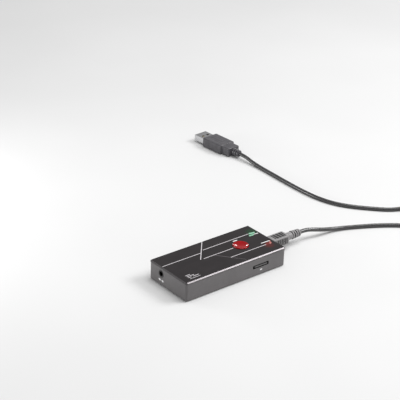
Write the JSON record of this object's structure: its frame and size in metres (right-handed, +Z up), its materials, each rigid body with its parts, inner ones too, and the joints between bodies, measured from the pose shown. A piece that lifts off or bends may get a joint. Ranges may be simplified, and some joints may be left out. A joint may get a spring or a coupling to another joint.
{
  "type": "usb capture recorder",
  "caption": "Flat black and grey USB capture recorder box with a red record button, status lights, jack, card slot and its USB lead.",
  "frame": {"origin": "centre of the box's footprint on the table, at the underside of the feet", "axes": "+X from the jack end to the USB end, -Y out of the card side, +Z up"},
  "size_m": [0.2523, 0.2471, 0.015],
  "materials": {
    "cover_black": "polished",
    "housing_grey": "satin",
    "foot_rubber": "matte",
    "screw_steel": "zinc plated",
    "button_red": "gloss",
    "light_plastic_green": "translucent, lit green",
    "light_plastic_red": "translucent, lit red",
    "lamp_body": "matte",
    "board_green": "solder mask",
    "chip_black": "moulded",
    "plain_plastic": "moulded",
    "tin": "tinned",
    "ceramic": "matte",
    "sheet_steel": "nickel plated",
    "gold": "gold plated",
    "card_black": "satin",
    "cord_black": "satin",
    "mould_grey": "satin",
    "tie_black": "matte"
  },
  "bodies": {
    "recorder": {"capture_processor": "chip_black", "card_contacts": "gold", "card_eject_spring": "sheet_steel", "card_socket_base": "plain_plastic", "card_socket_shell": "sheet_steel", "ceramic_capacitors": "ceramic", "chip_leads": "tin", "cover_screws": "screw_steel", "crystal_can": "tin", "electrolytic_capacitors": "tin", "flash_chip": "chip_black", "green_led": "lamp_body", "green_light_pipe": "light_plastic_green", "housing": "housing_grey", "jack_bezel": "sheet_steel", "jack_contacts": "gold", "jack_housing": "plain_plastic", "main_board": "board_green", "memory_chip": "chip_black", "power_inductor": "chip_black", "red_led": "lamp_body", "red_light_pipe": "light_plastic_red", "resistors": "chip_black", "rubber_feet": "foot_rubber", "switch_base": "chip_black", "switch_cover": "sheet_steel", "switch_dome": "sheet_steel", "top_cover": "cover_black", "usb_receptacle_contacts": "gold", "usb_receptacle_shell": "sheet_steel", "usb_receptacle_tongue": "plain_plastic", "voltage_regulator": "chip_black"},
    "record_button": {"button_cap": "button_red", "switch_plunger": "plain_plastic"},
    "memory_card": {"memory_card": "card_black"},
    "card_slider": {"card_eject_slider": "plain_plastic"},
    "usb_lead": {"coil_tie": "tie_black", "device_plug_boot": "mould_grey", "device_plug_contacts": "gold", "device_plug_insulator": "plain_plastic", "device_plug_overmould": "mould_grey", "device_plug_shell": "sheet_steel", "host_plug_boot": "mould_grey", "host_plug_contacts": "gold", "host_plug_insulator": "plain_plastic", "host_plug_overmould": "mould_grey", "host_plug_shell": "sheet_steel", "lead_coil": "cord_black", "lead_cord_device_run": "cord_black", "lead_cord_host_run": "cord_black"}
  },
  "joints": [
    {"name": "record_press", "type": "slide", "parent": "recorder", "child": "record_button", "axis": [0, 0, -1], "range_m": [0, 0.0005], "stiffness_N_per_m": 300, "springref_m": -0.001},
    {"name": "card_slide", "type": "slide", "parent": "recorder", "child": "memory_card", "axis": [0, -1, 0], "range_m": [-0.0008, 0.016]},
    {"name": "eject_slide", "type": "slide", "parent": "recorder", "child": "card_slider", "axis": [0, 1, 0], "range_m": [0, 0.0008], "stiffness_N_per_m": 100, "springref_m": -0.002, "deforming": ["card_eject_spring"]},
    {"name": "plug_slide", "type": "slide", "parent": "recorder", "child": "usb_lead", "axis": [1, 0, 0], "range_m": [0, 0.008]}
  ]
}
